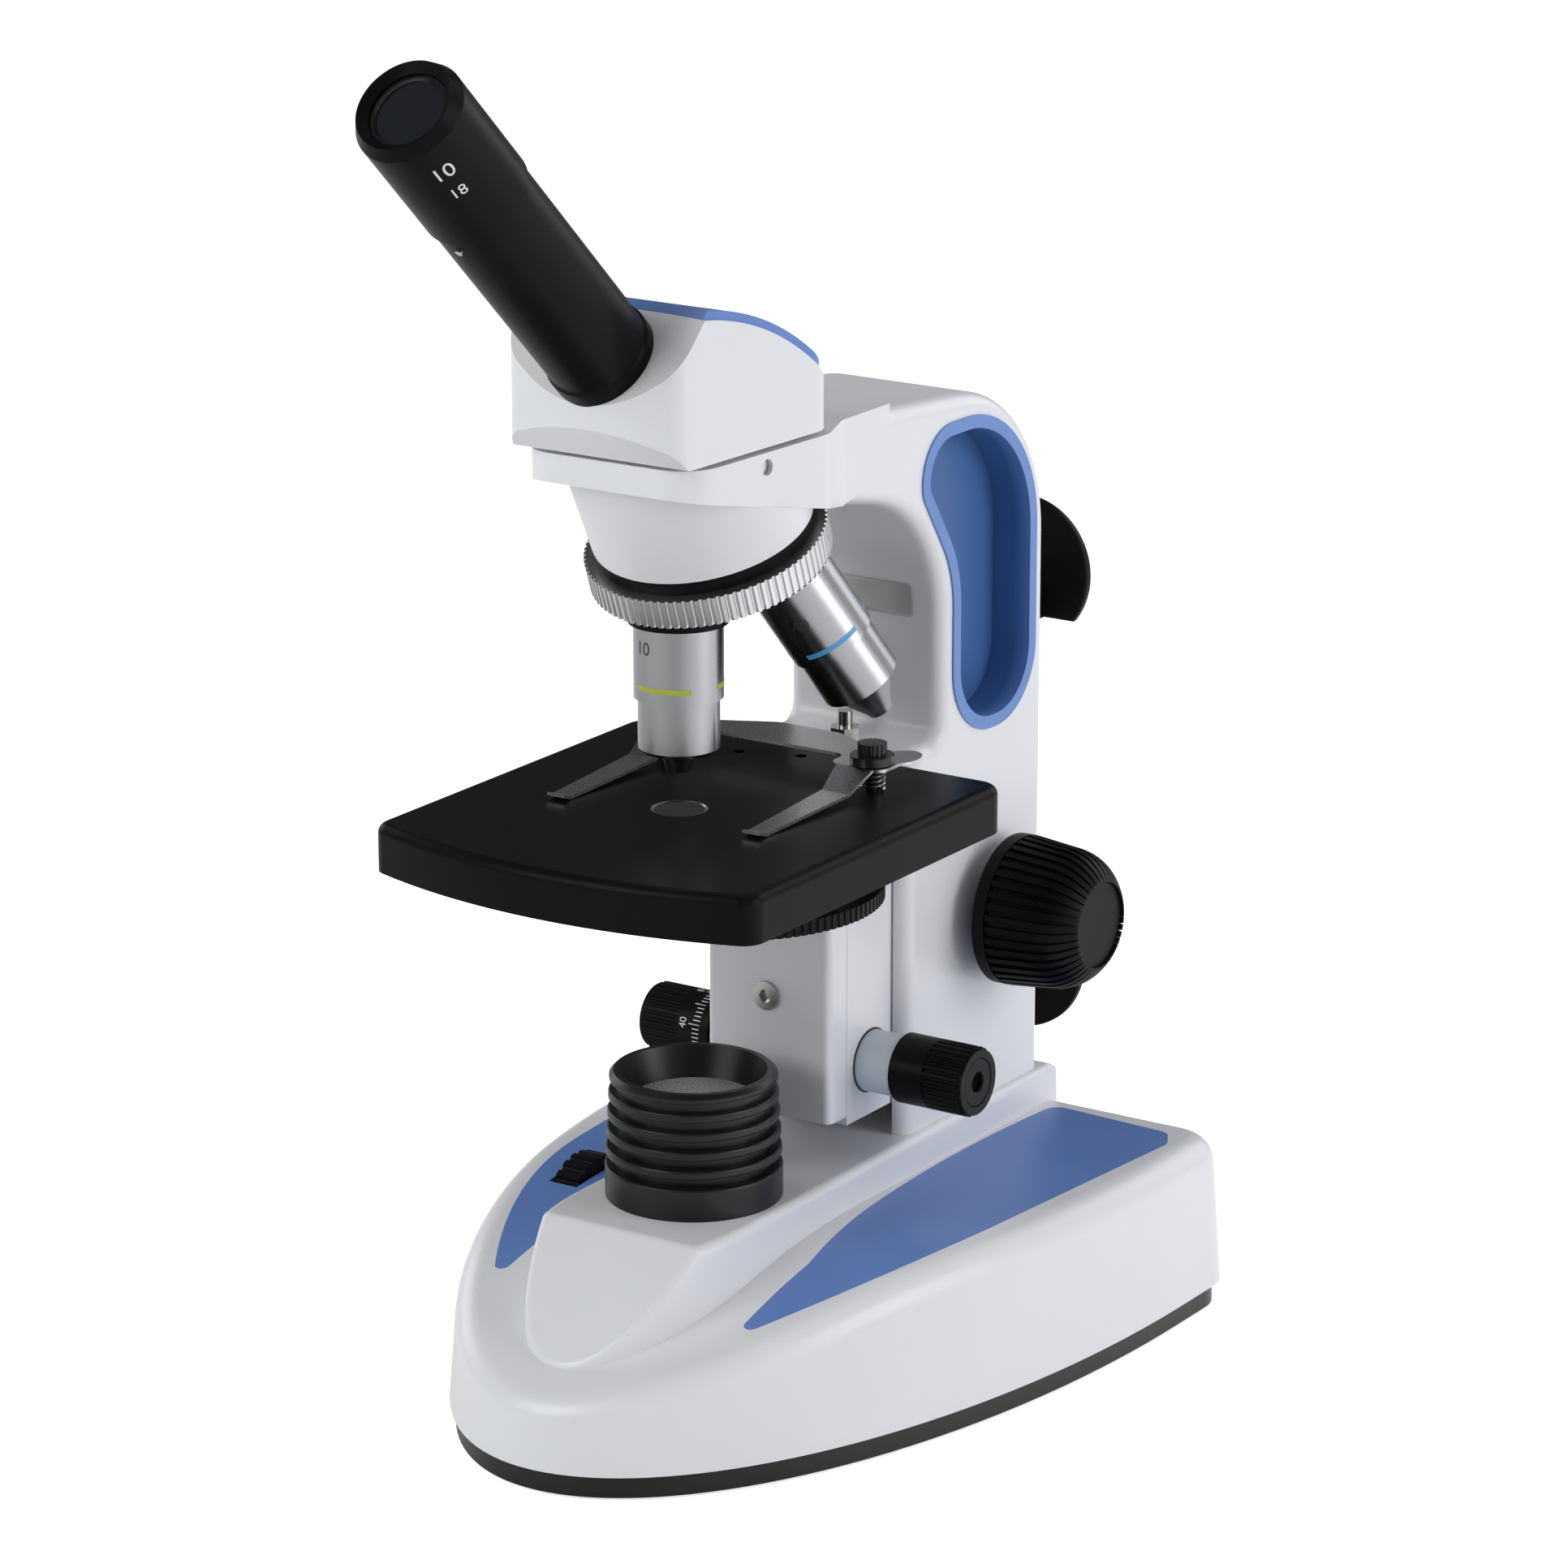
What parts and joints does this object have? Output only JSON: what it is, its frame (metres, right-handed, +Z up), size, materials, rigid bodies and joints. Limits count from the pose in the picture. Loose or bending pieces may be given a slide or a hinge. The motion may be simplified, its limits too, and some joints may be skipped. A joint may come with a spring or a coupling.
{
  "type": "microscope",
  "caption": "Monocular student microscope with inclined eyepiece tube, tilted turning nosepiece, square stage with slide clip, coarse and fine focus, and a lamp in its base.",
  "frame": {"origin": "on the table under the middle of the outline seen from above", "axes": "+Z up, +Y from the eyepiece towards the arm and cord hooks, +X to the right of someone facing the front"},
  "size_m": [0.157, 0.2718, 0.3447],
  "materials": {
    "white_paint": "fine stipple",
    "blue_plastic": "satin",
    "black_paint": "satin",
    "black_plastic": "matte",
    "silver": "satin chrome",
    "steel": "bright",
    "black_steel": "black oxide",
    "brass": "machined",
    "glass": "polished",
    "rubber": "matte",
    "board": "satin",
    "led": "clear"
  },
  "bodies": {
    "stand": {"base_casting": "white_paint", "base_panel_left": "blue_plastic", "base_panel_right": "blue_plastic", "base_plate": "black_paint", "rubber_feet": "rubber", "plate_screws": "steel", "lamp_housing": "black_paint", "lamp_lens": "glass", "led_module": "led", "circuit_board": "board", "dimmer_pot": "black_plastic", "dc_inlet": "black_plastic", "arm": "white_paint", "arm_bolts": "steel", "grip_insert_left": "blue_plastic", "grip_insert_right": "blue_plastic", "cord_hook_upper": "black_plastic", "cord_hook_lower": "black_plastic", "nosepiece_mount": "white_paint", "head_lock_screw": "steel", "guide_rails": "steel", "coarse_bushes": "brass", "stop_screw": "steel", "stop_nut": "steel", "turret_pivot": "steel"},
    "coarse_carriage": {"coarse_slide": "white_paint", "rack": "brass", "fine_sleeves": "white_paint"},
    "coarse_knobs": {"coarse_shaft": "steel", "coarse_knob_left": "black_plastic", "coarse_knob_right": "black_plastic"},
    "fine_knobs": {"fine_shaft": "steel", "fine_knob_left": "black_plastic", "fine_knob_right": "black_plastic"},
    "stage_carriage": {"stage_bracket": "white_paint", "bracket_screw": "steel", "stage": "black_paint", "stage_lens": "glass", "diaphragm_pivot": "steel", "stage_screws": "steel", "clip_screws": "black_steel", "clip_springs": "steel"},
    "diaphragm": {"disc_diaphragm": "black_plastic"},
    "clip": {"slide_clip": "steel"},
    "nosepiece": {"nosepiece_turret": "black_paint", "nosepiece_ring": "silver", "objective_4": "silver", "objective_10": "silver", "objective_40": "silver", "objective_lenses": "glass"},
    "objective_nose": {"objective_40_nose": "silver", "objective_40_lens": "glass"},
    "head": {"head_housing": "white_paint", "head_cap": "blue_plastic", "prism": "glass", "eyepiece_tube": "black_paint", "eyepiece_screw": "steel"},
    "eyepiece_body": {"eyepiece": "black_paint", "eyepiece_lens": "glass"},
    "dimmer": {"dimmer_wheel": "black_plastic"}
  },
  "joints": [
    {"name": "coarse_slide_move", "type": "slide", "parent": "stand", "child": "coarse_carriage", "axis": [0, 0, 1], "range_m": [-0.008, 0.0008]},
    {"name": "coarse_knob_turn", "type": "hinge", "parent": "stand", "child": "coarse_knobs", "pos_m": [0, 0.08285, 0.104], "axis": [1, 0, 0], "range_deg": [-8, 66]},
    {"name": "fine_knob_turn", "type": "hinge", "parent": "coarse_carriage", "child": "fine_knobs", "pos_m": [0, 0.03285, 0.076], "axis": [1, 0, 0], "range_deg": [-152, 152]},
    {"name": "fine_slide_move", "type": "slide", "parent": "coarse_carriage", "child": "stage_carriage", "axis": [0, 0, 1], "range_m": [-0.0005, 0.0005]},
    {"name": "diaphragm_turn", "type": "hinge", "parent": "stage_carriage", "child": "diaphragm", "pos_m": [0.0142, -0.02395, 0.135], "axis": [0, 0, 1], "continuous": true},
    {"name": "clip_lift", "type": "hinge", "parent": "stage_carriage", "child": "clip", "pos_m": [0, 0.00885, 0.159], "axis": [-1, 0, 0], "range_deg": [0, 4], "stiffness_Nm_per_rad": 0.05, "springref_deg": -8.59, "deforming": ["clip_springs"]},
    {"name": "nosepiece_turn", "type": "hinge", "parent": "stand", "child": "nosepiece", "pos_m": [0, -0.02415, 0.2482], "axis": [0, 0.342, -0.9397], "continuous": true},
    {"name": "objective_nose_press", "type": "slide", "parent": "nosepiece", "child": "objective_nose", "axis": [-0.2962, -0.4821, 0.8245], "range_m": [0, 0.002], "stiffness_N_per_m": 400, "springref_m": -0.002},
    {"name": "head_turn", "type": "hinge", "parent": "stand", "child": "head", "pos_m": [0, -0.02415, 0.2442], "axis": [0, 0, 1], "continuous": true},
    {"name": "eyepiece_turn", "type": "hinge", "parent": "head", "child": "eyepiece_body", "pos_m": [0, -0.09883, 0.30912], "axis": [0, -0.7314, 0.682], "continuous": true},
    {"name": "dimmer_turn", "type": "hinge", "parent": "stand", "child": "dimmer", "pos_m": [-0.046, 0.00185, 0.0337], "axis": [1, 0, 0], "range_deg": [-135, 135]}
  ],
  "couplings": [
    {"joint": "coarse_knob_turn", "follows": "coarse_slide_move", "rad_per_m": -138.89},
    {"joint": "fine_knob_turn", "follows": "fine_slide_move", "rad_per_m": 5236}
  ]
}
